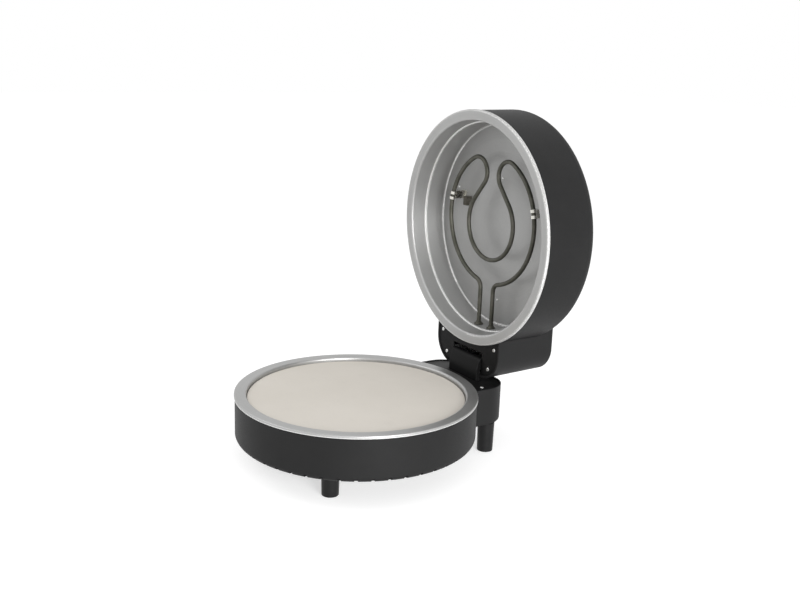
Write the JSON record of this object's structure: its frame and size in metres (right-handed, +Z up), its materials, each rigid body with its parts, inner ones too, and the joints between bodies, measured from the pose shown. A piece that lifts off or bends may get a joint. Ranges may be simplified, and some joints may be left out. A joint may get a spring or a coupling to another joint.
{
  "type": "electric pizza maker",
  "caption": "Countertop pizza maker: a round base with a baking stone and a domed lid with a looped heating element, joined by a concealed gooseneck hinge.",
  "frame": {"origin": "on the floor, centre of the bounding box of the appliance standing with its lid open", "axes": "+Z up, -Y towards the front, +X to the right seen from the front"},
  "size_m": [0.35, 0.494, 0.504],
  "materials": {
    "black_shell": "satin black enamel",
    "pan_metal": "pressed sheet, dull satin",
    "stone": "unglazed, matt",
    "element": "oxidised dark sheath",
    "clip_metal": "thin spring strip",
    "seal_ceramic": "unglazed",
    "pin_steel": "plain",
    "shield_metal": "mill finish",
    "fuse": "sleeve",
    "housing_plastic": "fine grain",
    "cover_plastic": "smooth",
    "block_ceramic": "glazed white",
    "gland_rubber": "matt",
    "bracket_steel": "satin black",
    "screw_steel": "zinc plated",
    "foot_plastic": "matt",
    "pad_rubber": "matt",
    "wool": "felted mineral wool",
    "sensor_case": "oxidised",
    "frame_steel": "zinc plated",
    "handle_plastic": "satin",
    "dial_plate": "brushed, printed",
    "switch_body": "moulded",
    "lamp_body": "moulded",
    "lens_red": "clear red",
    "lens_green": "clear green",
    "knob_plastic": "smooth"
  },
  "bodies": {
    "base": {"base_shell": "black_shell", "base_pan": "pan_metal", "lower_heater": "element", "lower_heater_clips": "clip_metal", "lower_terminal_seals": "seal_ceramic", "lower_terminal_pins": "pin_steel", "heat_shield": "shield_metal", "shield_posts": "shield_metal", "thermal_fuse": "fuse", "base_hinge_housing": "housing_plastic", "base_hinge_cover": "cover_plastic", "base_cover_screws": "screw_steel", "terminal_block": "block_ceramic", "cord_gland": "gland_rubber", "hinge_bracket": "bracket_steel", "bracket_screws": "screw_steel", "front_feet": "foot_plastic", "rear_feet": "foot_plastic", "foot_pads": "pad_rubber", "foot_screws": "screw_steel"},
    "stone": {"baking_stone": "stone"},
    "lid": {"lid_shell": "black_shell", "lid_pan": "pan_metal", "insulation_blanket": "wool", "upper_heater": "element", "upper_heater_clips": "clip_metal", "upper_terminal_seals": "seal_ceramic", "upper_terminal_pins": "pin_steel", "temperature_sensor": "sensor_case", "lid_hinge_housing": "housing_plastic", "lid_hinge_cover": "cover_plastic", "lid_cover_screws": "screw_steel", "lid_hinge_frame": "frame_steel", "hinge_pin": "pin_steel", "pin_clips": "clip_metal", "lid_handle": "handle_plastic", "handle_screws": "screw_steel", "thermostat_dial": "dial_plate", "thermostat": "switch_body", "pilot_lamps": "lamp_body", "power_lamp_lens": "lens_red", "heating_lamp_lens": "lens_green"},
    "knob": {"thermostat_knob": "knob_plastic", "thermostat_shaft": "pin_steel"}
  },
  "joints": [
    {"name": "lid_hinge", "type": "hinge", "parent": "base", "child": "lid", "pos_m": [0, 0.134, 0.123], "axis": [1, 0, 0], "range_deg": [0, 90]},
    {"name": "stone_lift", "type": "slide", "parent": "base", "child": "stone", "axis": [0, 0, 1], "range_m": [0, 0.025]},
    {"name": "knob_turn", "type": "hinge", "parent": "lid", "child": "knob", "pos_m": [0, 0.231, 0.153], "axis": [0, -1, 0], "range_deg": [0, 270]}
  ]
}
